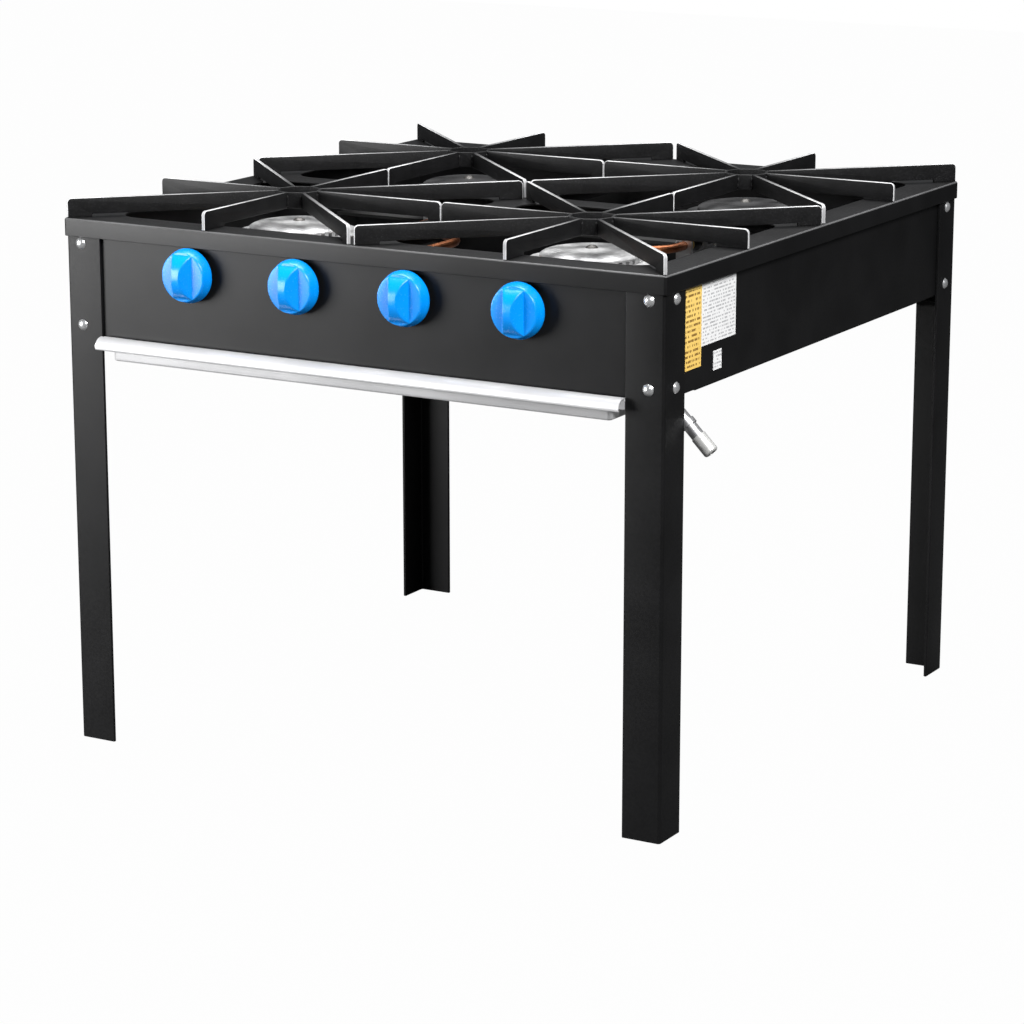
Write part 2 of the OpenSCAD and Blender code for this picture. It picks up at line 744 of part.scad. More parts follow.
// Shallow pan with a lip along each side, and a front wall that curls over into a pull
module drip_tray() {
  pull_x = tray_x + pull_side;
  color("lightgray") {
    difference() {
      translate([-tray_x, tray_front - tray_t, tray_floor]) cube([tray_w, tray_l, tray_h]);
      translate([-tray_x + tray_t, tray_front, tray_floor + tray_t])
        cube([tray_w - 2 * tray_t, tray_l - 2 * tray_t, tray_h]);
    }
    for (sx = [-1, 1]) translate([sx * (tray_x + tray_lip / 2 - tray_t / 2), 0, tray_top - tray_t / 2])
      translate([0, tray_front + tray_l / 2 + 4, 0])
        cube([tray_lip + tray_t, tray_l - 20, tray_t], center = true);
    translate([-pull_x, tray_front - tray_t, tray_top - 4])
      cube([2 * pull_x, tray_t, panel_z + 1 - tray_top + 4]);
    translate([-pull_x, tray_front, panel_z + 1 - pull_r]) rotate([90, 0, 90])
      linear_extrude(2 * pull_x) difference() {
        intersection() {
          circle(pull_r);
          translate([-pull_r - 1, 0]) square([pull_r + 1, pull_r + 1]);
        }
        circle(pull_r - tray_t);
      }
  }
}

// Knob: a coned skirt with an arched bar grip across it, and a blind socket for the spindle
module knob(i) {
  rim = 3;
  face = 11;
  face_r = knob_d / 2 - 2.5;
  color("dodgerblue") at_valve(i) translate([0, -knob_gap, 0]) difference() {
    union() {
      rotate([90, 0, 0]) rotate_extrude() polygon([
        [0, 0], [knob_d / 2 - 0.7, 0], [knob_d / 2, 0.7], [knob_d / 2, rim],
        [face_r, face], [0, face + 0.4]]);
      intersection() {
        translate([0, 0, -knob_d / 2]) linear_extrude(knob_d) polygon([
          [-knob_grip_w / 2, 0], [knob_grip_w / 2, 0], [knob_grip_w / 2, -face],
          [knob_top_w / 2, -knob_depth], [-knob_top_w / 2, -knob_depth],
          [-knob_grip_w / 2, -face]]);
        rod_y(face_r, -knob_depth - 1, -1);
        translate([-knob_d / 2, face_r - knob_depth, 0]) rotate([0, 90, 0])
          cylinder(r = face_r, h = knob_d);
      }
    }
    rod_y(stem_r + 0.05, -15, 1);
  }
}

module knob_left_outer() { knob(0); }

module knob_left_inner() { knob(1); }

module knob_right_inner() { knob(2); }

module knob_right_outer() { knob(3); }

// Spindle: its front end is held in the knob, a collar stops it in the valve, and a
// tongue slides in the plug's socket
module stem(i) {
  collar_y = chamber_y + 1;
  color("silver") at_valve(i) {
    rod_y(stem_r, -knob_gap - 14.5, collar_y + bit);
    rod_y(stem_r + 1, collar_y, collar_y + 2);
    rod_y(tongue_r, collar_y + 2 - bit, plug_y + 5);
  }
}

module stem_left_outer() { stem(0); }

module stem_left_inner() { stem(1); }

module stem_right_inner() { stem(2); }

module stem_right_outer() { stem(3); }

// Rotor of the valve, with a socket for the tongue and an angled gas port
module valve_plug(i) {
  color("goldenrod") at_valve(i) difference() {
    rod_y(plug_r, plug_y + 0.4, plug_end);
    rod_y(tongue_r + turn_gap, plug_y, plug_y + 9.5);
    rod_y(port_r, port_y, plug_end + 1);
    translate([0, port_y, 0]) rotate([0, 90, 0]) cylinder(r = port_r, h = plug_r + 1);
  }
}

module plug_left_outer() { valve_plug(0); }

module plug_left_inner() { valve_plug(1); }

module plug_right_inner() { valve_plug(2); }

module plug_right_outer() { valve_plug(3); }

top_frame();
front_panel();
rear_panel();
left_panel();
right_panel();
leg_front_left();
leg_front_right();
leg_rear_left();
leg_rear_right();
leg_screws();
leg_nuts();
burner_rails();
burner_front_left();
burner_front_right();
burner_rear_left();
burner_rear_right();
burner_cap_front_left();
burner_cap_front_right();
burner_cap_rear_left();
burner_cap_rear_right();
cap_screws();
burner_screws();
gas_manifold();
manifold_plug();
manifold_brackets();
inlet_elbow();
inlet_tube();
inlet_nut();
hose_end();
valve_body_left_outer();
valve_body_left_inner();
valve_body_right_inner();
valve_body_right_outer();
valve_caps();
jets();
supply_tubes();
union_nuts();
jet_brackets();
stem_springs();
tray_runners();
yellow_label();
white_labels();
trivet_front_left();
trivet_front_right();
trivet_rear_left();
trivet_rear_right();
drip_tray();
knob_left_outer();
knob_left_inner();
knob_right_inner();
knob_right_outer();
stem_left_outer();
stem_left_inner();
stem_right_inner();
stem_right_outer();
plug_left_outer();
plug_left_inner();
plug_right_inner();
plug_right_outer();
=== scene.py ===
import math

import bmesh
import bpy
import numpy as np
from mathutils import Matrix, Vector


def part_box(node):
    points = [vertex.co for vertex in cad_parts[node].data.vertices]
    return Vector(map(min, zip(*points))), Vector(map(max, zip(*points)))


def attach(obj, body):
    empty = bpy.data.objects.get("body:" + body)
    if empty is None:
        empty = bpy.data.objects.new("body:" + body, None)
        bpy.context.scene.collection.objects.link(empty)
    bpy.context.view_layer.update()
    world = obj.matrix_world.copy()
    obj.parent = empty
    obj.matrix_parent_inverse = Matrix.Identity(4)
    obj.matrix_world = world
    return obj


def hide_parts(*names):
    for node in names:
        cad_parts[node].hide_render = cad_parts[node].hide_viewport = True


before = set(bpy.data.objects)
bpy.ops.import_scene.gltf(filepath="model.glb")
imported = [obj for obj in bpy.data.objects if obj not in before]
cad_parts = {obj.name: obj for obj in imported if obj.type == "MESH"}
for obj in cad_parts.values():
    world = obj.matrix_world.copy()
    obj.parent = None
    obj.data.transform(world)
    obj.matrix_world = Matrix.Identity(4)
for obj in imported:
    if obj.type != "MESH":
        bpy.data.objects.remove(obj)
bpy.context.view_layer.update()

# ---------------------------------------------------------------------------
# Camera. It stands about three metres away, off the right-hand front corner and a little
# above the deck, and looks at the stand through a long lens.
# ---------------------------------------------------------------------------
eye = Vector((1.5247, -2.6763, 0.9490))
eye_turn = math.radians(29.915)
eye_tilt = math.radians(13.939)
eye_lens = 119.18
eye_back = Vector((
    math.sin(eye_turn) * math.cos(eye_tilt),
    -math.cos(eye_turn) * math.cos(eye_tilt),
    math.sin(eye_tilt)))
camera = bpy.data.objects.new("camera", bpy.data.cameras.new("camera"))
camera.data.sensor_width = 36.0
camera.data.lens = eye_lens
camera.data.clip_end = 60.0
camera.location = eye
camera.rotation_euler = (-eye_back).to_track_quat("-Z", "Y").to_euler()
bpy.context.scene.collection.objects.link(camera)
bpy.context.scene.camera = camera
bpy.context.scene.view_settings.view_transform = "Standard"

# ---------------------------------------------------------------------------
# Studio. Soft boxes low on the front left, overhead, high on the right, which is the
# strongest, and behind. The dim room and the dark floor light the stand only a little,
# and both are drawn white where the camera sees them.
# ---------------------------------------------------------------------------


def soft_box(name, place, aim, size, watts):
    """A square area light at place, turned towards aim, that the camera doesn't see."""
    lamp = bpy.data.lights.new(name, "AREA")
    lamp.shape = "SQUARE"
    lamp.size = size
    lamp.energy = watts
    holder = bpy.data.objects.new(name, lamp)
    holder.location = Vector(place)
    holder.rotation_euler = (Vector(aim) - Vector(place)).to_track_quat("-Z", "Y").to_euler()
    holder.visible_camera = False
    bpy.context.scene.collection.objects.link(holder)


soft_box("key_box", (-1.15, -1.35, 0.62), (-0.2, -0.25, 0.42), 0.9, 34.0)
soft_box("top_box", (-0.2, 0.3, 2.0), (0.0, 0.0, 0.45), 1.2, 50.0)
soft_box("side_box", (1.9, -1.35, 2.1), (0.3, -0.1, 0.42), 1.0, 112.0)
soft_box("rear_box", (0.4, 1.9, 2.9), (0.0, 0.1, 0.40), 1.2, 20.0)

world = bpy.data.worlds.new("studio")
bpy.context.scene.world = world
world.use_nodes = True
tree = world.node_tree
tree.nodes.clear()
seen = tree.nodes.new("ShaderNodeBackground")
seen.inputs["Color"].default_value = (1.0, 1.0, 1.0, 1.0)
seen.inputs["Strength"].default_value = 1.0
room = tree.nodes.new("ShaderNodeBackground")
room.inputs["Color"].default_value = (0.9, 0.95, 1.0, 1.0)
room.inputs["Strength"].default_value = 0.075
path = tree.nodes.new("ShaderNodeLightPath")
pick = tree.nodes.new("ShaderNodeMixShader")
out = tree.nodes.new("ShaderNodeOutputWorld")
tree.links.new(path.outputs["Is Camera Ray"], pick.inputs["Fac"])
tree.links.new(room.outputs[0], pick.inputs[1])
tree.links.new(seen.outputs[0], pick.inputs[2])
tree.links.new(pick.outputs[0], out.inputs["Surface"])


floor_half = 6.0
floor_drop = 0.0005
floor_lines = 25


def sheet_of_paper():
    """Flat grid that spans floor_half each way from the middle, floor_drop below the feet."""
    along = np.linspace(-floor_half, floor_half, floor_lines)
    u, v = np.meshgrid(along, along, indexing="ij")
    points = np.stack([u, v, np.full_like(u, -floor_drop)], axis=-1).reshape(-1, 3)
    cell = np.arange(floor_lines ** 2).reshape(floor_lines, floor_lines)
    faces = np.stack([cell[:-1, :-1], cell[1:, :-1], cell[1:, 1:], cell[:-1, 1:]], axis=-1)
    mesh = bpy.data.meshes.new("floor")
    mesh.from_pydata(points.tolist(), [], faces.reshape(-1, 4).tolist())
    return mesh


floor = bpy.data.objects.new("floor", sheet_of_paper())
bpy.context.scene.collection.objects.link(floor)
paper = bpy.data.materials.new("white_paper")
paper.use_nodes = True
tree = paper.node_tree
tree.nodes.clear()
matte = tree.nodes.new("ShaderNodeBsdfDiffuse")
matte.inputs["Color"].default_value = (0.07, 0.07, 0.07, 1.0)
glow = tree.nodes.new("ShaderNodeEmission")
glow.inputs["Color"].default_value = (1.0, 1.0, 1.0, 1.0)
glow.inputs["Strength"].default_value = 1.0
path = tree.nodes.new("ShaderNodeLightPath")
share = tree.nodes.new("ShaderNodeMath")
share.operation = "MULTIPLY"
share.inputs[1].default_value = 0.985
pick = tree.nodes.new("ShaderNodeMixShader")
out = tree.nodes.new("ShaderNodeOutputMaterial")
tree.links.new(path.outputs["Is Camera Ray"], share.inputs[0])
tree.links.new(share.outputs[0], pick.inputs["Fac"])
tree.links.new(matte.outputs[0], pick.inputs[1])
tree.links.new(glow.outputs[0], pick.inputs[2])
tree.links.new(pick.outputs[0], out.inputs["Surface"])
floor.data.materials.append(paper)

# ---------------------------------------------------------------------------
# Deck. One sheet of steel with four round-cornered openings and its edge folded down into
# a skirt all round, then enamelled black. It is spot-welded to the panels under it.
# ---------------------------------------------------------------------------


def grain_group():
    """Shader group for any surface with a grain: fine and broad noise in object space,
    stretched along an axis where asked. It gives the two masks and a bumped normal."""
    group = bpy.data.node_groups.new("grain", "ShaderNodeTree")
    for name, kind in (("Scale", "NodeSocketFloat"), ("Height", "NodeSocketFloat"),
                       ("Stretch", "NodeSocketVector")):
        group.interface.new_socket(name=name, in_out="INPUT", socket_type=kind)
    for name, kind in (("Fine", "NodeSocketFloat"), ("Broad", "NodeSocketFloat"),
                       ("Normal", "NodeSocketVector")):
        group.interface.new_socket(name=name, in_out="OUTPUT", socket_type=kind)
    new, link = group.nodes.new, group.links.new
    given = new("NodeGroupInput")
    gives = new("NodeGroupOutput")
    where = new("ShaderNodeTexCoord")
    pulled = new("ShaderNodeVectorMath")
    pulled.operation = "MULTIPLY"
    link(where.outputs["Object"], pulled.inputs[0])
    link(given.outputs["Stretch"], pulled.inputs[1])
    fine = new("ShaderNodeTexNoise")
    fine.inputs["Detail"].default_value = 3.0
    link(pulled.outputs[0], fine.inputs["Vector"])
    link(given.outputs["Scale"], fine.inputs["Scale"])
    wide = new("ShaderNodeMath")
    wide.operation = "MULTIPLY"
    wide.inputs[1].default_value = 0.05
    link(given.outputs["Scale"], wide.inputs[0])
    broad = new("ShaderNodeTexNoise")
    broad.inputs["Detail"].default_value = 2.0
    link(where.outputs["Object"], broad.inputs["Vector"])
    link(wide.outputs[0], broad.inputs["Scale"])
    bump = new("ShaderNodeBump")
    bump.inputs["Strength"].default_value = 1.0
    link(given.outputs["Height"], bump.inputs["Distance"])
    link(fine.outputs["Fac"], bump.inputs["Height"])
    link(fine.outputs["Fac"], gives.inputs["Fine"])
    link(broad.outputs["Fac"], gives.inputs["Broad"])
    link(bump.outputs["Normal"], gives.inputs["Normal"])
    return group


grain = grain_group()


def blended(tree, share, first, second):
    """Colour node output that goes from first to second as share goes from 0 to 1."""
    mix = tree.nodes.new("ShaderNodeMix")
    mix.data_type = "RGBA"
    for socket, value in ((mix.inputs[6], first), (mix.inputs[7], second)):
        if isinstance(value, tuple):
            socket.default_value = (*value, 1.0)
        else:
            tree.links.new(value, socket)
    tree.links.new(share, mix.inputs[0])
    return mix.outputs[2]


def ranged(tree, value, low, high, start=0.35, stop=0.65):
    """Maps value from start..stop to low..high."""
    span = tree.nodes.new("ShaderNodeMapRange")
    span.inputs["From Min"].default_value = start
    span.inputs["From Max"].default_value = stop
    span.inputs["To Min"].default_value = low
    span.inputs["To Max"].default_value = high
    tree.links.new(value, span.inputs["Value"])
    return span.outputs["Result"]


def finish(name, dark, light, rough, metal=0.0, scale=500.0, height=2e-5,
           stretch=(1.0, 1.0, 1.0), shine=0.5, coat=0.0, flecks=0.0):
    """Material whose colour runs from dark to light with the broad and fine grain, whose
    roughness runs between the two values of rough, and whose grain stands height metres."""
    material = bpy.data.materials.new(name)
    material.use_nodes = True
    tree = material.node_tree
    shader = tree.nodes["Principled BSDF"]
    shader.inputs["Metallic"].default_value = metal
    shader.inputs["Specular IOR Level"].default_value = shine
    shader.inputs["Coat Weight"].default_value = coat
    shader.inputs["Coat Roughness"].default_value = 0.12
    effect = tree.nodes.new("ShaderNodeGroup")
    effect.node_tree = grain
    effect.inputs["Scale"].default_value = scale
    effect.inputs["Height"].default_value = height
    effect.inputs["Stretch"].default_value = stretch
    broad = ranged(tree, effect.outputs["Broad"], 0.0, 1.0)
    colour = blended(tree, broad, dark, light)
    if flecks:
        spots = ranged(tree, effect.outputs["Fine"], 0.0, flecks, 0.56, 0.68)
        colour = blended(tree, spots, colour, (0.42, 0.42, 0.44))
    tree.links.new(colour, shader.inputs["Base Color"])
    tree.links.new(ranged(tree, effect.outputs["Fine"], *rough), shader.inputs["Roughness"])
    tree.links.new(effect.outputs["Normal"], shader.inputs["Normal"])
    return material


def dress(material, *nodes):
    """Gives CAD nodes this material, in their objects' own slots."""
    for name in nodes:
        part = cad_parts[name]
        if not part.material_slots:
            part.data.materials.append(material)
        for place in part.material_slots:
            place.link = "OBJECT"
            place.material = material


def ringed(rows, columns, wrap_rows=False, wrap_columns=True):
    """Quads of a grid with rows x columns points, numbered row by row."""
    cell = np.arange(rows * columns).reshape(rows, columns)
    if wrap_rows:
        cell = np.vstack([cell, cell[:1]])
    if wrap_columns:
        cell = np.hstack([cell, cell[:, :1]])
    return np.stack([cell[:-1, :-1], cell[:-1, 1:], cell[1:, 1:], cell[1:, :-1]],
                    axis=-1).reshape(-1, 4)


def outline(corners, radii, steps=5):
    """Closed path round a polygon with its corners rounded: each corner becomes an arc of
    steps + 1 points that touches both sides. Gives the points and their outward normals."""
    corners = np.asarray(corners, float)
    before = np.roll(corners, 1, axis=0) - corners
    after = np.roll(corners, -1, axis=0) - corners
    before /= np.linalg.norm(before, axis=1, keepdims=True)
    after /= np.linalg.norm(after, axis=1, keepdims=True)
    radii = np.broadcast_to(np.asarray(radii, float), (len(corners),))
    half = np.arccos(np.clip((before * after).sum(1), -1.0, 1.0)) / 2
    middle = before + after
    middle /= np.linalg.norm(middle, axis=1, keepdims=True)
    centre = corners + middle * (radii / np.sin(half))[:, None]
    first = np.stack([-before[:, 1], before[:, 0]], axis=1)
    first = np.where(((first * middle).sum(1) < 0)[:, None], first, -first)
    last = np.stack([-after[:, 1], after[:, 0]], axis=1)
    last = np.where(((last * middle).sum(1) < 0)[:, None], last, -last)
    share = np.linspace(0.0, 1.0, steps + 1)[None, :, None]
    spread = first[:, None, :] * (1 - share) + last[:, None, :] * share
    spread /= np.linalg.norm(spread, axis=2, keepdims=True)
    points = centre[:, None, :] + spread * radii[:, None, None]
    points = points.reshape(-1, 2)
    way = np.roll(points, -1, axis=0) - np.roll(points, 1, axis=0)
    normal = np.stack([way[:, 1], -way[:, 0]], axis=1)
    normal /= np.linalg.norm(normal, axis=1, keepdims=True)
    beyond = np.roll(points, -1, axis=0)
    area = (points[:, 0] * beyond[:, 1] - points[:, 1] * beyond[:, 0]).sum()
    if area < 0:
        normal = -normal
    return points, normal


def piece(name, points, faces, material, body, slot, *nodes, flat=30.0, painted_highlight_and_stain=None):
    """Makes the mesh object, smooth except over edges sharper than flat degrees, dresses
    it, and puts it on its body in place of the CAD nodes."""
    mesh = bpy.data.meshes.new(name)
    mesh.from_pydata(np.asarray(points, float).tolist(), [], [list(map(int, f)) for f in faces])
    if painted_highlight_and_stain is not None:
        mesh.attributes.new("painted_highlight_and_stain", "FLOAT", "POINT").data.foreach_set("value", painted_highlight_and_stain)
    work = bmesh.new()
    work.from_mesh(mesh)
    bmesh.ops.remove_doubles(work, verts=work.verts, dist=2e-6)
    bmesh.ops.dissolve_degenerate(work, dist=1e-7, edges=work.edges)
    bmesh.ops.recalc_face_normals(work, faces=work.faces)
    work.to_mesh(mesh)
    work.free()
    mesh.shade_smooth()
    mesh.set_sharp_from_angle(angle=math.radians(flat))
    mesh.materials.append(material)
    thing = bpy.data.objects.new(name, mesh)
    bpy.context.scene.collection.objects.link(thing)
    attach(thing, body)
    if nodes:
        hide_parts(*nodes)


def stacked(*parts):
    """Joins (points, faces) pairs into one pair."""
    points, faces, count = [], [], 0
    for some, quads in parts:
        some = np.asarray(some, float).reshape(-1, 3)
        points.append(some)
        faces += [[int(i) + count for i in f] for f in quads]
        count += len(some)
    return np.vstack(points), faces


black_enamel = finish("black_enamel", (0.0050, 0.0050, 0.0053), (0.0075, 0.0075, 0.0079),
                      (0.36, 0.42), scale=420.0, height=1.0e-5, shine=0.24)

deck_low, deck_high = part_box("top_frame")
deck_top = deck_high.z
deck_half_x, deck_half_y = deck_high.x, deck_high.y
deck_thick = 0.0015
deck_fold = 0.002
deck_rim = 0.032
deck_rail = 0.015
deck_corner = 0.025
deck_roll = 0.0006
deck_break = 0.0003


def deck_quarter(sign_x, sign_y):
    """A quarter of the deck: rows of points run from the opening's underside round its
    rolled edge, across the top, over the fold and down the skirt's outside, then up its
    inside and back under the sheet. Columns run round the opening."""
    edge_x, edge_y = deck_half_x - deck_fold, deck_half_y - deck_fold
    inner, facing = outline(
        [(deck_rail, deck_rail), (deck_half_x - deck_rim, deck_rail),
         (deck_half_x - deck_rim, deck_half_y - deck_rim), (deck_rail, deck_half_y - deck_rim)],
        deck_corner, steps=12)
    outer, _ = outline([(0, 0), (edge_x, 0), (edge_x, edge_y), (0, edge_y)],
                       [1e-7, 1e-7, 0.001, 1e-7], steps=12)
    bare = deck_top - deck_thick
    rows = []
    for turn in np.linspace(-90.0, 90.0, 7):
        lift = math.radians(turn)
        shift = deck_roll * (1 - math.cos(lift))
        height = (deck_top - deck_thick / 2 + (deck_thick / 2 - deck_roll) * np.sign(turn)
                  + deck_roll * math.sin(lift))
        rows.append((inner + facing * shift, height))
    for share in (0.3, 0.6, 1.0):
        rows.append(((inner + facing * deck_roll) * (1 - share) + outer * share, deck_top))
    over = np.zeros_like(outer)
    over[:, 0] = np.where(outer[:, 0] > edge_x - 0.0011, 1.0, 0.0)
    over[:, 1] = np.where(outer[:, 1] > edge_y - 0.0011, 1.0, 0.0)
    corner = (over.sum(1) > 1.5)
    angle = np.linspace(0.0, math.pi / 2, corner.sum())
    over[corner] = np.stack([np.cos(angle), np.sin(angle)], axis=1)
    beside_x = (outer[:, 0] > edge_x - 1e-6) & ~corner
    beside_y = (outer[:, 1] > edge_y - 1e-6) & ~corner
    over[beside_x] = (1.0, 0.0)
    over[beside_y] = (0.0, 1.0)
    first_fold = len(rows)
    for turn in np.linspace(15.0, 90.0, 6):
        lift = math.radians(turn)
        rows.append((outer + over * deck_fold * math.sin(lift),
                     deck_top - deck_fold * (1 - math.cos(lift))))
    low = deck_low.z
    rows.append((outer + over * deck_fold, low + deck_break))
    rows.append((outer + over * (deck_fold - deck_break), low))
    rows.append((outer + over * (deck_fold - deck_thick + deck_break), low))
    rows.append((outer + over * (deck_fold - deck_thick), low + deck_break))
    rows.append((outer + over * (deck_fold - deck_thick), bare - 0.0005))
    rows.append((outer, bare))
    grid = np.stack([np.column_stack([p, np.full(len(p), z)]) for p, z in rows])
    grid[..., 0] *= sign_x
    grid[..., 1] *= sign_y
    # The rows just over the outer fold are marked for a painted highlight: a paler grey band along
    # the fold that the material mixes in.
    painted_highlight_and_stain = np.zeros((len(rows), grid.shape[1]))
    painted_highlight_and_stain[first_fold + 1:first_fold + 4] = 1.0
    painted_highlight_and_stain[:, (over ** 2).sum(1) < 0.5] = 0.0
    faces = ringed(len(rows), grid.shape[1], wrap_rows=True)
    return grid.reshape(-1, 3), faces, painted_highlight_and_stain.reshape(-1)


def with_painted_highlight_and_stain(material, bare):
    """Mixes the colour bare into a material where the mesh's marking attribute is high,
    broken up a little by the broad grain. On the deck's fold and the trivets' upper edges
    the mixed-in colour is a painted highlight, and inside the tray it is a dark stain."""
    tree = material.node_tree
    shader = tree.nodes["Principled BSDF"]
    under = shader.inputs["Base Color"].links[0].from_socket
    painted_highlight_and_stain = tree.nodes.new("ShaderNodeAttribute")
    painted_highlight_and_stain.attribute_name = "painted_highlight_and_stain"
    effect = next(n for n in tree.nodes if n.type == "GROUP")
    patchy = ranged(tree, effect.outputs["Broad"], 0.75, 1.0)
    amount = tree.nodes.new("ShaderNodeMath")
    amount.operation = "MULTIPLY"
    tree.links.new(painted_highlight_and_stain.outputs["Fac"], amount.inputs[0])
    tree.links.new(patchy, amount.inputs[1])
    tree.links.new(blended(tree, amount.outputs[0], under, bare), shader.inputs["Base Color"])


# Painted highlight: the deck's marked fold rows get a paler grey band.
with_painted_highlight_and_stain(black_enamel, (0.11, 0.11, 0.112))
quarters = [deck_quarter(x, y) for x in (-1, 1) for y in (-1, 1)]
points, faces = stacked(*[quarter[:2] for quarter in quarters])
piece("deck", points, faces, black_enamel, "root", "body_enamel", "top_frame",
      painted_highlight_and_stain=np.concatenate([quarter[2] for quarter in quarters]))
dress(black_enamel, "front_panel", "rear_panel", "left_panel", "right_panel")

# ---------------------------------------------------------------------------
# Legs. Four lengths of 36 mm angle, three millimetres thick, with the root corner rounded
# as rolled angle is. Their feet are sawn square and the same enamel covers them.
# ---------------------------------------------------------------------------
leg_enamel = finish("leg_enamel", (0.0045, 0.0045, 0.0048), (0.0070, 0.0070, 0.0074),
                    (0.38, 0.46), scale=420.0, height=1.0e-5, shine=0.24)
leg_metal = 0.003
leg_width = 0.036
leg_break = 0.0004


def angle_leg(name, sign_x, sign_y):
    """The L-shaped outline carried straight up. The first and last rows are drawn in by
    leg_break, which breaks the sawn edges."""
    low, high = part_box(name)
    top = high.z
    corners = np.array([(0, 0), (leg_width, 0), (leg_width, leg_metal), (leg_metal, leg_metal),
                        (leg_metal, leg_width), (0, leg_width)])
    path, facing = outline(corners, [0.0028, 0.0006, 0.0008, 0.0015, 0.0008, 0.0006], steps=6)
    rows = []
    for height, inset in ((0.0, leg_break), (0.0005, 0.0), (top * 0.33, 0.0), (top * 0.66, 0.0),
                          (top - 0.0005, 0.0), (top, leg_break)):
        flat_row = path - facing * inset
        rows.append(np.column_stack([flat_row, np.full(len(path), height)]))
    grid = np.stack(rows)
    near_x = high.x if sign_x > 0 else -low.x
    near_y = high.y if sign_y > 0 else -low.y
    grid[..., 0] = sign_x * (near_x - grid[..., 0])
    grid[..., 1] = sign_y * (near_y - grid[..., 1])
    count = len(path)
    faces = [*ringed(len(rows), count).tolist(), list(range(count)),
             list(range(count * (len(rows) - 1), count * len(rows)))]
    return grid.reshape(-1, 3), faces


for sign_y, end in ((-1, "front"), (1, "rear")):
    for sign_x, side in ((-1, "left"), (1, "right")):
        node = f"leg_{end}_{side}"
        piece(f"angle_{node}", *angle_leg(node, sign_x, sign_y), leg_enamel,
              "root", "leg_enamel", node)

# ---------------------------------------------------------------------------
# Leg screws. Sixteen round-head machine screws, zinc plated, with polished domes. They
# pass through leg and panel into square nuts inside.
# ---------------------------------------------------------------------------
zinc = finish("bright_zinc", (0.80, 0.81, 0.82), (0.93, 0.93, 0.94), (0.24, 0.32),
              metal=0.85, scale=900.0, height=4e-6)


def turned(profile, around=32):
    """Profile of (radius, height) points spun round the Z axis. A radius of zero closes
    the surface in a pole."""
    profile = np.asarray(profile, float)
    angle = np.linspace(0.0, 2 * math.pi, around, endpoint=False)
    grid = np.stack([profile[:, :1] * np.cos(angle), profile[:, :1] * np.sin(angle),
                     np.broadcast_to(profile[:, 1:], (len(profile), around))], axis=-1)
    return grid.reshape(-1, 3), ringed(len(profile), around).tolist()


def aimed(points, axis, place):
    """Turns points from the Z axis to axis, then moves them to place."""
    turn = Vector(axis).to_track_quat("Z", "Y").to_matrix()
    return np.asarray(points) @ np.array(turn).T + np.asarray(place)


def domed_screw(radius, rise, shank, length):
    """Outline of a round-head screw: the tip, the shank, the flat under the head, its
    short rim, and a dome that meets its pole square."""
    ball = (radius ** 2 + rise ** 2) / (2 * rise)
    reach = math.asin(min(1.0, radius / ball))
    dome = [(ball * math.sin(a), rise - ball + ball * math.cos(a))
            for a in np.linspace(reach, 0.0, 8)]
    dome[0] = (radius - 0.0002, 0.0003)
    return [(0.0, -length), (shank - 0.0004, -length), (shank, -length + 0.0004), (shank, 0.0),
            (radius - 0.0003, 0.0), (radius, 0.0001), *dome]


screw_low, screw_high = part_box("leg_screws")
screw_head = 0.005
screw_rise = 0.0028
screw_from_x = 0.015
screw_from_y = 0.020
screw_wall = screw_high.x - screw_rise
screw_wall_y = screw_high.y - screw_rise
screw_shape, screw_faces = turned(domed_screw(screw_head, screw_rise, 0.0025, 0.010), 28)
screw_parts = []
for height in (screw_low.z + screw_head, screw_high.z - screw_head):
    for sign_x in (-1, 1):
        for sign_y in (-1, 1):
            screw_parts.append((aimed(screw_shape, (0, sign_y, 0), (
                sign_x * (screw_wall - screw_from_x), sign_y * screw_wall_y, height)), screw_faces))
            screw_parts.append((aimed(screw_shape, (sign_x, 0, 0), (
                sign_x * screw_wall, sign_y * (screw_wall_y - screw_from_y), height)), screw_faces))
piece("round_head_screws", *stacked(*screw_parts), zinc, "root", "zinc_screw",
      "leg_screws", flat=40.0)
dress(zinc, "leg_nuts", "burner_screws")

# ---------------------------------------------------------------------------
# Knobs. Glossy blue mouldings with a coned skirt and an arched bar grip from rim to rim,
# narrow and flat along its crest. Each is pressed on a steel spindle.
# ---------------------------------------------------------------------------
knob_plastic = finish("blue_plastic", (0.000, 0.265, 0.84), (0.000, 0.290, 0.90), (0.22, 0.28),
                      scale=420.0, height=1.5e-6, shine=0.4)
knob_radius = 0.024
knob_rim = 0.003
knob_face_radius = 0.0215
knob_face = 0.011
knob_crest = 0.0225
knob_foot_half = 0.0099
knob_top_half = 0.0036


def soft_greater(first, second, blend):
    """The greater of two fields, with the crease between them rounded over blend."""
    gap = np.clip(0.5 + (first - second) / (2 * blend), 0.0, 1.0)
    return second * (1 - gap) + first * gap + blend * gap * (1 - gap)


def soft_lesser(first, second, blend):
    """The lesser of two fields, with the edge between them rounded over blend."""
    return -soft_greater(-first, -second, blend)


def knob_height(across, along):
    """Height over the knob's back: a cone from rim to face, and on it the bar, whose
    flanks lean in to the flat top and whose crest follows a circle from rim to rim."""
    out_from = np.hypot(across, along)
    lean = (knob_face - knob_rim) / (knob_radius - knob_face_radius)
    cone = knob_rim + (knob_radius - out_from) * lean
    face = knob_face + 0.0004 * (1 - out_from / knob_face_radius)
    body = soft_lesser(cone, face, 0.0005)
    flank_lean = (knob_crest - knob_face) / (knob_foot_half - knob_top_half)
    flank = knob_face + (knob_foot_half - np.abs(across)) * flank_lean
    arch = knob_crest - knob_face_radius + np.sqrt(
        np.clip(knob_face_radius ** 2 - along ** 2, 0.0, None))
    bar = soft_lesser(soft_lesser(flank, arch, 0.0006), np.full_like(arch, knob_crest), 0.0002)
    bar = soft_lesser(bar, cone, 0.0006)
    return soft_greater(body, bar, 0.0004)


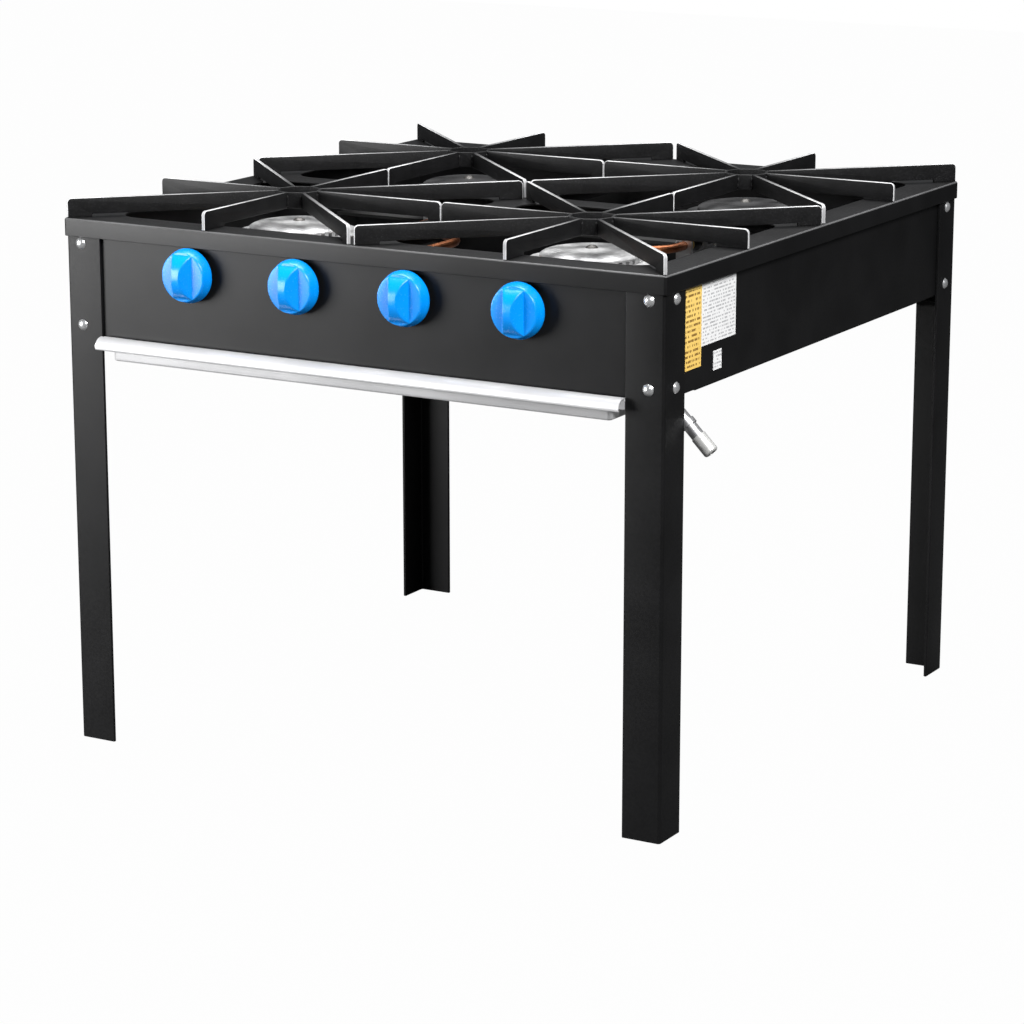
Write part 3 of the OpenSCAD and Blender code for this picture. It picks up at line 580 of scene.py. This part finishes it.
def knob_shape():
    """Grid of lines along the grip, closer at its edges, over the knob's disc, then its
    rim as a ring of quads and a flat back."""
    edge = np.array([0.0, 0.0012, 0.0024, 0.0031, 0.0035, 0.0038, 0.0042, 0.0050, 0.0058, 0.0066,
                     0.0074, 0.0082, 0.0090, 0.0095, 0.0099, 0.0103, 0.0110, 0.0125, 0.0140,
                     0.0158, 0.0175, 0.0190, 0.0202, 0.0210, 0.0217, 0.0224, 0.0230, 0.0234,
                     0.0237, 0.0239])
    across = np.concatenate([-edge[:0:-1], edge])
    reach = np.sqrt(knob_radius ** 2 - across ** 2)
    share = np.sin(np.linspace(-math.pi / 2, math.pi / 2, 61))
    x = np.broadcast_to(across[:, None], (len(across), len(share)))
    z = reach[:, None] * share[None, :]
    front = np.stack([x, z, knob_height(x, z)], axis=-1)
    rows, columns = x.shape
    cell = np.arange(rows * columns).reshape(rows, columns)
    ring = np.concatenate([cell[0, :], cell[1:, -1], cell[-1, -2::-1], cell[-2:0:-1, 0]])
    points = [front.reshape(-1, 3)]
    faces = ringed(rows, columns, wrap_columns=False).tolist()
    last = ring
    count = rows * columns
    rim = front.reshape(-1, 3)[ring][:, :2]
    for radius, height in ((1.0, 0.0018), (1.0, 0.0007), (0.988, 0.0002), (0.97, 0.0)):
        points.append(np.column_stack([rim * radius, np.full(len(ring), height)]))
        fresh = np.arange(len(ring)) + count
        count += len(ring)
        faces += np.stack([last, np.roll(last, -1), np.roll(fresh, -1), fresh], axis=-1).tolist()
        last = fresh
    faces.append(last.tolist())
    return np.vstack(points), faces


knob_points, knob_faces = knob_shape()
for place in ("left_outer", "left_inner", "right_inner", "right_outer"):
    low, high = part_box(f"knob_{place}")
    middle = (low + high) / 2
    set_in = np.column_stack([knob_points[:, 0] + middle.x, high.y - knob_points[:, 2],
                              knob_points[:, 1] + middle.z])
    piece(f"blue_knob_{place}", set_in, knob_faces, knob_plastic, f"knob_{place}",
          "knob_blue", f"knob_{place}", flat=50.0)

# ---------------------------------------------------------------------------
# Burners. Cast dishes with domed caps, each held by a screw. The front pair is bright
# aluminium, and the rear pair dark iron. Slots cut in a cap's rim let the gas out as small flames.
# ---------------------------------------------------------------------------
cast_aluminium = finish("cast_aluminium", (0.26, 0.26, 0.265), (0.66, 0.66, 0.66), (0.34, 0.52),
                        metal=0.8, scale=420.0, height=2.6e-4)
cast_iron = finish("cast_iron", (0.018, 0.018, 0.019), (0.04, 0.04, 0.041), (0.45, 0.65),
                   metal=0.3, scale=900.0, height=8e-5)
cap_radius = 0.045
cap_slots = 36
cap_slot_depth = 0.0045
cap_steps = 10
cap_slot_steps = 4


def slotted_cap(low, high):
    """Profile from the centre of the dome over the rim and back underneath, spun round.
    Between two slots the rim keeps its full radius, and inside a slot it steps inwards."""
    crown = [(0.0, 0.0), (0.012, 0.0001), (0.026, 0.0005), (0.034, 0.0012), (0.0400, 0.0024),
             (0.0425, 0.0034), (0.0440, 0.0043), (0.0449, 0.0052)]
    profile = [(r, high.z - d) for r, d in crown]
    profile += [(cap_radius, low.z + 0.0034), (cap_radius, low.z + 0.0030),
                (cap_radius, low.z + 0.0015), (cap_radius - 0.0003, low.z),
                (cap_radius - 0.005, low.z), (cap_radius - 0.006, high.z - 0.006),
                (0.0, high.z - 0.004)]
    profile = np.array(profile)
    cut_rows = (9, 10, 11)
    around = cap_slots * cap_steps
    angle = np.arange(around) * 2 * math.pi / around
    inside = np.arange(around) % cap_steps < cap_slot_steps
    radius = np.broadcast_to(profile[:, :1], (len(profile), around)).copy()
    for row in cut_rows:
        radius[row] -= np.where(inside, cap_slot_depth, 0.0)
    height = np.broadcast_to(profile[:, 1:], radius.shape)
    grid = np.stack([radius * np.cos(angle), radius * np.sin(angle), height], axis=-1)
    middle = (low + high) / 2
    grid[..., :2] += (middle.x, middle.y)
    return grid.reshape(-1, 3), ringed(len(profile), around).tolist()


for end, metal, kind in (("front", cast_aluminium, "cast_aluminium"),
                         ("rear", cast_iron, "burner_iron")):
    for side in ("left", "right"):
        node = f"burner_cap_{end}_{side}"
        piece(f"slotted_{node}", *slotted_cap(*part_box(node)), metal, "root", kind, node)
        dress(metal, f"burner_{end}_{side}")
dark_steel = finish("dark_steel", (0.06, 0.058, 0.055), (0.12, 0.115, 0.11), (0.45, 0.6),
                    metal=0.8, scale=700.0, height=1e-5)
dress(dark_steel, "cap_screws")
flat_black = finish("flat_black", (0.014, 0.014, 0.014), (0.024, 0.024, 0.024), (0.5, 0.65),
                    scale=600.0, height=2e-5, shine=0.4)
dress(flat_black, "burner_rails", "tray_runners")

# ---------------------------------------------------------------------------
# Gas line. A steel pipe across the front feeds four brass valves. The front jets sit on
# the valves and copper tubes take the gas to the rear ones. The inlet leaves on the right.
# ---------------------------------------------------------------------------
pipe_steel = finish("pipe_steel", (0.20, 0.20, 0.21), (0.34, 0.34, 0.35), (0.32, 0.48),
                    metal=1.0, scale=300.0, height=1e-5, stretch=(0.15, 1.0, 1.0))
strip_steel = finish("zinc_strip", (0.42, 0.43, 0.44), (0.58, 0.58, 0.58), (0.3, 0.42),
                     metal=1.0, scale=500.0, height=8e-6)
plated_steel = finish("plated_steel", (0.56, 0.56, 0.57), (0.76, 0.76, 0.77), (0.32, 0.42),
                      metal=0.9, scale=400.0, height=6e-6, stretch=(1.0, 3.0, 1.0))
pale_metal = finish("satin_hose_end", (0.74, 0.74, 0.72), (0.90, 0.90, 0.88), (0.28, 0.40),
                    metal=0.6, scale=600.0, height=8e-6)
brass = finish("turned_brass", (0.50, 0.34, 0.11), (0.68, 0.50, 0.20), (0.25, 0.38),
               metal=1.0, scale=450.0, height=8e-6, stretch=(1.0, 4.0, 1.0))
copper = finish("dulled_copper", (0.15, 0.050, 0.022), (0.34, 0.125, 0.055), (0.34, 0.48),
                metal=1.0, scale=240.0, height=8e-6)
turned_steel = finish("turned_steel", (0.46, 0.46, 0.47), (0.62, 0.62, 0.63), (0.22, 0.34),
                      metal=1.0, scale=600.0, height=6e-6, stretch=(1.0, 5.0, 1.0))
dress(pipe_steel, "gas_manifold", "manifold_plug", "inlet_elbow")
dress(strip_steel, "manifold_brackets", "jet_brackets")
dress(plated_steel, "inlet_tube", "inlet_nut")
dress(pale_metal, "hose_end")
dress(copper, "supply_tubes")
dress(brass, "valve_caps", "jets", "union_nuts")
dress(turned_steel, "stem_springs")
for place in ("left_outer", "left_inner", "right_inner", "right_outer"):
    dress(brass, f"valve_body_{place}", f"plug_{place}")
    dress(turned_steel, f"stem_{place}")

# ---------------------------------------------------------------------------
# Trivets. Eight steel blades on edge, welded round a short eight-sided hub, then coated in
# a satin black with a fine grain. Their upper edges carry a pale painted highlight. They lift
# off the deck by hand.
# ---------------------------------------------------------------------------
trivet_enamel = finish("trivet_enamel", (0.0042, 0.0042, 0.0045), (0.0068, 0.0068, 0.0072),
                       (0.40, 0.52), scale=1300.0, height=4e-5, shine=0.22, flecks=0.05)

# Painted highlight: a near-white colour is mixed in along the blades' rounded upper edges, standing
# in for light caught by those edges.
with_painted_highlight_and_stain(trivet_enamel, (0.88, 0.88, 0.89))
blade_half = 0.0015
blade_round = 0.0005
hub_radius = 0.022
hub_sink = 0.0002
blade_arch = 0.0025
blade_corner = 0.004
foot_gap = 0.002
corner_foot = 0.022
bead_rows = 9
bead_around = 8


def swung(points, turn):
    """Points turned about the Z axis by an angle in radians."""
    cos, sin = math.cos(turn), math.sin(turn)
    return np.column_stack([points[:, 0] * cos - points[:, 1] * sin,
                            points[:, 0] * sin + points[:, 1] * cos, points[:, 2]])


def blade(reach, foot, turn, rise):
    """Side outline of a blade with its outer upper corner rounded, given thickness along
    its normal in rows that round the edges over, with a flat face at each side."""
    inner = hub_radius - 0.003
    side, facing = outline(
        [(inner, blade_arch), (reach - foot, blade_arch), (reach - foot, 0.0), (reach, 0.0),
         (reach, rise), (inner, rise)],
        [0.0006, 0.0009, 0.0006, 0.0008, blade_corner, 0.0006], steps=7)
    rows = []
    for lift in np.radians([90.0, 60.0, 30.0, 0.0]):
        rows.append((blade_round * (1 - math.cos(lift)),
                     blade_half - blade_round * (1 - math.sin(lift))))
    rows += [(inset, -across) for inset, across in rows[::-1]]
    grid = np.stack([np.column_stack([(side - facing * inset)[:, 0], np.full(len(side), across),
                                      (side - facing * inset)[:, 1]]) for inset, across in rows])
    count = len(side)
    faces = [*ringed(len(rows), count).tolist(), list(range(count)),
             list(range(count * (len(rows) - 1), count * len(rows)))]
    # Painted highlight: points along the blade's upper and outer edges get the near-white colour.
    # The rows over the rounded edges get it in full, and the narrow edge between them gets half.
    highlit_edge = (facing[:, 1] > -0.5) & (side[:, 0] > inner + 0.002)
    highlit_edge &= (side[:, 1] > 0.005) | (side[:, 0] > reach - 0.002)
    highlight_rows = np.array([0.0, 1.0, 1.0, 0.5, 0.5, 1.0, 1.0, 0.0])
    painted_highlight_and_stain = (highlight_rows[:, None] * highlit_edge[None, :]).reshape(-1)
    return swung(grid.reshape(-1, 3), turn), faces, painted_highlight_and_stain


def hub(rise):
    """A strip on edge carried round an octagon: its rounded section's rows run round the
    strip, and the columns round the octagon."""
    ring = [(hub_radius * math.cos(math.radians(a)), hub_radius * math.sin(math.radians(a)))
            for a in range(0, 360, 45)]
    path, facing = outline(ring, 0.0035, steps=4)
    low, high = blade_arch + hub_sink, rise - hub_sink
    section, _ = outline([(0.0, low), (0.003, low), (0.003, high), (0.0, high)], 0.0005, steps=3)
    grid = np.stack([np.column_stack([path - facing * inset, np.full(len(path), height)])
                     for inset, height in section])
    return grid.reshape(-1, 3), ringed(len(section), len(path), wrap_rows=True).tolist()


def weld_bead(turn, rise):
    """A small rounded bead of weld that runs down the corner of a blade and the hub."""
    steps = np.linspace(0.0, 1.0, bead_rows)
    height = blade_arch + 0.001 + steps * (rise - blade_arch - 0.003)
    thick = 0.0011 + 0.00025 * np.sin(steps * 37.0 + turn)
    angle = np.linspace(0.0, 2 * math.pi, bead_around, endpoint=False)
    taper = np.where((steps == 0) | (steps == 1), 0.0, 1.0)
    radius = (thick * taper)[:, None]
    grid = np.stack([radius * np.cos(angle), radius * np.sin(angle),
                     np.broadcast_to(height[:, None], (bead_rows, bead_around))], axis=-1)
    points = []
    for side in (-1, 1):
        shifted = grid.reshape(-1, 3) + (hub_radius * 0.955, side * 0.0019, 0.0)
        points.append((swung(shifted, turn), ringed(bead_rows, bead_around).tolist()))
    return stacked(*points)


for sign_y, end in ((-1, "front"), (1, "rear")):
    for sign_x, side in ((-1, "left"), (1, "right")):
        node = f"trivet_{end}_{side}"
        low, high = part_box(node)
        middle = (low + high) / 2
        rise = high.z - low.z
        reach_x, reach_y = high.x - middle.x, high.y - middle.y
        slant = math.atan2(reach_y, reach_x)
        corner_reach = math.hypot(reach_x, reach_y) - 2 * blade_half
        wide_foot, thin_foot = deck_rim - foot_gap, deck_rail - foot_gap
        shapes = [hub(rise)]
        painted_highlight_and_stain = [np.zeros(len(shapes[0][0]))]
        for turn, reach, foot in (
                (0.0, reach_x, wide_foot if sign_x > 0 else thin_foot),
                (math.pi, reach_x, wide_foot if sign_x < 0 else thin_foot),
                (math.pi / 2, reach_y, wide_foot if sign_y > 0 else thin_foot),
                (-math.pi / 2, reach_y, wide_foot if sign_y < 0 else thin_foot),
                (slant, corner_reach, corner_foot), (math.pi - slant, corner_reach, corner_foot),
                (math.pi + slant, corner_reach, corner_foot), (-slant, corner_reach, corner_foot)):
            points, faces, edge_highlight = blade(reach, foot, turn, rise)
            bead = weld_bead(turn, rise)
            shapes += [(points, faces), bead]
            painted_highlight_and_stain += [edge_highlight, np.zeros(len(bead[0]))]
        points, faces = stacked(*shapes)
        points += (middle.x, middle.y, low.z)
        piece(f"star_{node}", points, faces, trivet_enamel, node, "trivet_enamel", node,
              flat=40.0, painted_highlight_and_stain=np.concatenate(painted_highlight_and_stain))

# ---------------------------------------------------------------------------
# Drip tray. A shallow pan of thin rolled aluminium with a lip along each side, which
# slides on the runners. Its front wall stands up and curls over into a pull, and its
# inside is stained by smoke and drips.
# ---------------------------------------------------------------------------
tray_metal = finish("rolled_aluminium", (0.70, 0.70, 0.71), (0.78, 0.78, 0.79), (0.34, 0.42),
                    metal=0.4, scale=260.0, height=4e-6, stretch=(0.05, 4.0, 4.0))
with_painted_highlight_and_stain(tray_metal, (0.055, 0.050, 0.046))
tray_low, tray_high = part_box("drip_tray")
tray_sheet = 0.001
tray_wide = 0.250
tray_lip = 0.008
tray_roll = 0.011
tray_wall = 0.015


def pan():
    """Plan outline of the pan with rounded corners; rows go from the middle of the floor's
    underside out and up the wall's outside, over its rim, and down the inside again."""
    back, front = tray_high.y, tray_low.y + tray_roll - tray_sheet
    floor_z = tray_low.z
    path, facing = outline([(-tray_wide, front), (tray_wide, front), (tray_wide, back),
                            (-tray_wide, back)], 0.004, steps=6)
    middle = np.array([0.0, (front + back) / 2])
    rows = [(path * 0 + middle, floor_z), (middle + (path - middle) * 0.6, floor_z),
            (path - facing * 0.002, floor_z)]
    for lift in np.radians([30.0, 60.0, 90.0]):
        rows.append((path - facing * 0.002 * (1 - math.sin(lift)),
                     floor_z + 0.002 * (1 - math.cos(lift))))
    top = floor_z + tray_wall
    rows += [(path, top - 0.0003), (path - facing * 0.0003, top),
             (path - facing * (tray_sheet - 0.0003), top),
             (path - facing * tray_sheet, top - 0.0003),
             (path - facing * tray_sheet, floor_z + 0.002),
             (path - facing * 0.0014, floor_z + 0.0013),
             (path - facing * 0.0022, floor_z + tray_sheet),
             (middle + (path - middle) * 0.6, floor_z + tray_sheet),
             (path * 0 + middle, floor_z + tray_sheet)]
    grid = np.stack([np.column_stack([p, np.full(len(p), z)]) for p, z in rows])
    smoked = np.zeros((len(rows), len(path)))
    smoked[-5:] = 1.0
    return grid.reshape(-1, 3), ringed(len(rows), len(path)).tolist(), smoked.reshape(-1)


def strip_along_x(section, start, stop, steps=2):
    """A closed (y, z) section carried from x = start to x = stop, with flat ends."""
    along = np.linspace(start, stop, steps)
    grid = np.stack([np.column_stack([np.full(len(section), x), section]) for x in along])
    count = len(section)
    return grid.reshape(-1, 3), [*ringed(steps, count).tolist(), list(range(count)),
                                 list(range(count * (steps - 1), count * steps))]


def lip(sign):
    """Flat strip turned outwards along one side of the pan."""
    top = tray_low.z + tray_wall
    section, _ = outline([(0.0, top - tray_sheet), (tray_lip + 0.0005, top - tray_sheet),
                          (tray_lip + 0.0005, top), (0.0, top)], 0.0003, steps=2)
    start, stop = tray_low.y + tray_roll + 0.013, tray_high.y - 0.007
    along = np.linspace(start, stop, 2)
    grid = np.stack([np.column_stack([sign * (tray_wide - 0.0005 + section[:, 0]),
                                      np.full(len(section), y), section[:, 1]]) for y in along])
    count = len(section)
    return grid.reshape(-1, 3), [*ringed(2, count).tolist(), list(range(count)),
                                 list(range(count, 2 * count))]


def rolled_front():
    """The sheet's middle line rises as the front wall, folds tightly at its crest, comes
    forwards and down as a quarter of an ellipse and ends in a small hem that turns under.
    The section is that line thickened to both sides."""
    wall_y = tray_low.y + tray_roll - tray_sheet / 2
    base, crest = tray_low.z + tray_wall - 0.004, tray_high.z - tray_sheet / 2
    reach, drop = tray_roll - tray_sheet, 0.0085
    sweep = np.linspace(0.0, math.pi / 2, 16)
    line = [(wall_y + 0.0004, base), (wall_y + 0.0004, crest - 0.003),
            (wall_y + 0.0001, crest - 0.001)]
    line += [(wall_y - 0.0006 - (reach - 0.0006) * math.sin(a), crest - drop + drop * math.cos(a))
             for a in sweep]
    tip_y, tip_z = line[-1]
    line += [(tip_y + 0.0003, tip_z - 0.0009), (tip_y + 0.0012, tip_z - 0.0014)]
    line = np.array(line)
    way = np.gradient(line, axis=0)
    way /= np.linalg.norm(way, axis=1, keepdims=True)
    side = np.column_stack([way[:, 1], -way[:, 0]]) * (tray_sheet / 2)
    section = np.vstack([line + side, (line - side)[::-1]])
    return strip_along_x(section, tray_low.x, tray_high.x, 9)


pan_points, pan_faces, smoked = pan()
points, faces = stacked((pan_points, pan_faces), lip(-1), lip(1), rolled_front())
smoked = np.concatenate([smoked, np.zeros(len(points) - len(smoked))])
piece("rolled_drip_tray", points, faces, tray_metal, "tray", "tray_aluminium", "drip_tray",
      flat=35.0, painted_highlight_and_stain=smoked)

# ---------------------------------------------------------------------------
# Labels. Three pieces of printed film on the right-hand panel: a yellow one at the leg and
# two white ones. Only plain rows of bars are printed on them here.
# ---------------------------------------------------------------------------


def printed_group():
    """Shader group for rows of short bars. Rows repeat with the given pitch along Z, bars
    are cut from a stretched noise along Y, and a margin round the film stays clear."""
    group = bpy.data.node_groups.new("printed_rows", "ShaderNodeTree")
    for name, kind in (("Low", "NodeSocketVector"), ("High", "NodeSocketVector"),
                       ("Pitch", "NodeSocketFloat"), ("Ink", "NodeSocketFloat"),
                       ("Margin", "NodeSocketFloat")):
        group.interface.new_socket(name=name, in_out="INPUT", socket_type=kind)
    group.interface.new_socket(name="Print", in_out="OUTPUT", socket_type="NodeSocketFloat")
    new, link = group.nodes.new, group.links.new
    given, gives = new("NodeGroupInput"), new("NodeGroupOutput")

    def math_node(kind, first, second=None, third=None):
        """Output of a Math node of this kind, fed with numbers or other nodes' outputs."""
        node = new("ShaderNodeMath")
        node.operation = kind
        for place, value in enumerate((first, second, third)):
            if value is None:
                continue
            if isinstance(value, float):
                node.inputs[place].default_value = value
            else:
                link(value, node.inputs[place])
        return node.outputs[0]

    def parts(source):
        """The X, Y and Z outputs of a vector."""
        split = new("ShaderNodeSeparateXYZ")
        link(source, split.inputs[0])
        return split.outputs

    where = parts(new("ShaderNodeTexCoord").outputs["Object"])
    low, high = parts(given.outputs["Low"]), parts(given.outputs["High"])
    row = math_node("DIVIDE", math_node("SUBTRACT", high[2], where[2]), given.outputs["Pitch"])
    inside_row = math_node("COMPARE", math_node("FRACT", row), 0.5, 0.24)
    line = new("ShaderNodeCombineXYZ")
    link(math_node("MULTIPLY", where[1], 420.0), line.inputs[0])
    link(math_node("MULTIPLY", math_node("FLOOR", row), 7.3), line.inputs[1])
    breaks = new("ShaderNodeTexNoise")
    breaks.inputs["Scale"].default_value = 1.0
    breaks.inputs["Detail"].default_value = 1.0
    link(line.outputs[0], breaks.inputs["Vector"])
    bars = math_node("GREATER_THAN", given.outputs["Ink"], breaks.outputs["Fac"])
    margin = given.outputs["Margin"]
    clear = math_node("GREATER_THAN", math_node("SUBTRACT", where[1], low[1]), margin)
    for other in (math_node("SUBTRACT", high[1], where[1]),
                  math_node("SUBTRACT", where[2], low[2]),
                  math_node("SUBTRACT", high[2], where[2])):
        clear = math_node("MULTIPLY", clear, math_node("GREATER_THAN", other, margin))
    inked = math_node("MULTIPLY", inside_row, bars)
    link(math_node("MULTIPLY", inked, clear), gives.inputs["Print"])
    return group


printed = printed_group()


def film(name, paper_dark, paper_light, ink, low, high, pitch, share, margin):
    """Printed film: the paper's colour with rows of bars in ink, slightly glossy."""
    material = finish(name, paper_dark, paper_light, (0.34, 0.44), scale=300.0, height=4e-6)
    tree = material.node_tree
    shader = tree.nodes["Principled BSDF"]
    ground = shader.inputs["Base Color"].links[0].from_socket
    rows = tree.nodes.new("ShaderNodeGroup")
    rows.node_tree = printed
    rows.inputs["Low"].default_value = low
    rows.inputs["High"].default_value = high
    rows.inputs["Pitch"].default_value = pitch
    rows.inputs["Ink"].default_value = share
    rows.inputs["Margin"].default_value = margin
    tree.links.new(blended(tree, rows.outputs["Print"], ground, ink), shader.inputs["Base Color"])
    return material


yellow_low, yellow_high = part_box("yellow_label")
dress(film("yellow_film", (0.94, 0.62, 0.15), (0.98, 0.68, 0.19), (0.30, 0.17, 0.04),
           yellow_low, yellow_high, 0.0042, 0.53, 0.0022), "yellow_label")
white_low, white_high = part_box("white_labels")
dress(film("white_film", (0.90, 0.90, 0.90), (0.94, 0.94, 0.94), (0.50, 0.50, 0.51),
           white_low, white_high, 0.0030, 0.52, 0.0020), "white_labels")
